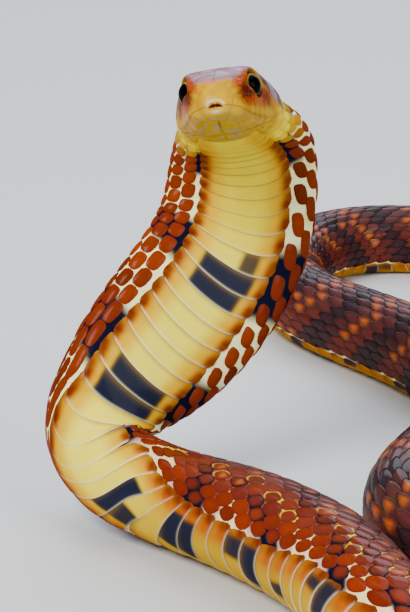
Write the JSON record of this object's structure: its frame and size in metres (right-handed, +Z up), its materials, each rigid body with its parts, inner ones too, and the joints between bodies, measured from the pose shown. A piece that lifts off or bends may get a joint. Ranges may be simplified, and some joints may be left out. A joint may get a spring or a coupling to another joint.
{
  "type": "large-eyed false cobra",
  "caption": "Still life-size model of a false cobra with raised head and flattened hood, its body laid in loops on the floor.",
  "frame": {"origin": "middle of the whole animal's outline, at the floor it lies on", "axes": "+Z up; the animal faces -Y, with its raised hood near the -X, -Y corner; +Y runs along the longest extent, towards the loops behind"},
  "size_m": [0.1866, 0.266, 0.0834],
  "materials": {
    "head_skin": "glossy shields, yellow snout and lips, grey-brown crown",
    "jaw_skin": "smooth cream-yellow shields, satin",
    "eye": "clear gloss over a round black pupil and a thin gold-brown iris",
    "hood_skin": "cream skin between brick-orange scales, smooth yellow belly scutes, satin",
    "body_skin": "keeled red-brown scales with black edges and pale crossbars, satin",
    "tail_skin": "small keeled brown scales, satin"
  },
  "bodies": {
    "root": {"head": "head_skin", "lower_jaw": "jaw_skin", "eye_left": "eye", "eye_right": "eye", "hood_upper": "hood_skin", "hood_lower": "hood_skin", "neck": "hood_skin", "body_1": "body_skin", "body_2": "body_skin", "body_3": "body_skin", "body_4": "body_skin", "body_5": "body_skin", "body_6": "body_skin", "body_7": "body_skin", "body_8": "body_skin", "body_9": "body_skin", "body_10": "body_skin", "body_11": "body_skin", "tail_1": "tail_skin", "tail_2": "tail_skin", "tail_3": "tail_skin", "tail_4": "tail_skin"}
  },
  "joints": []
}
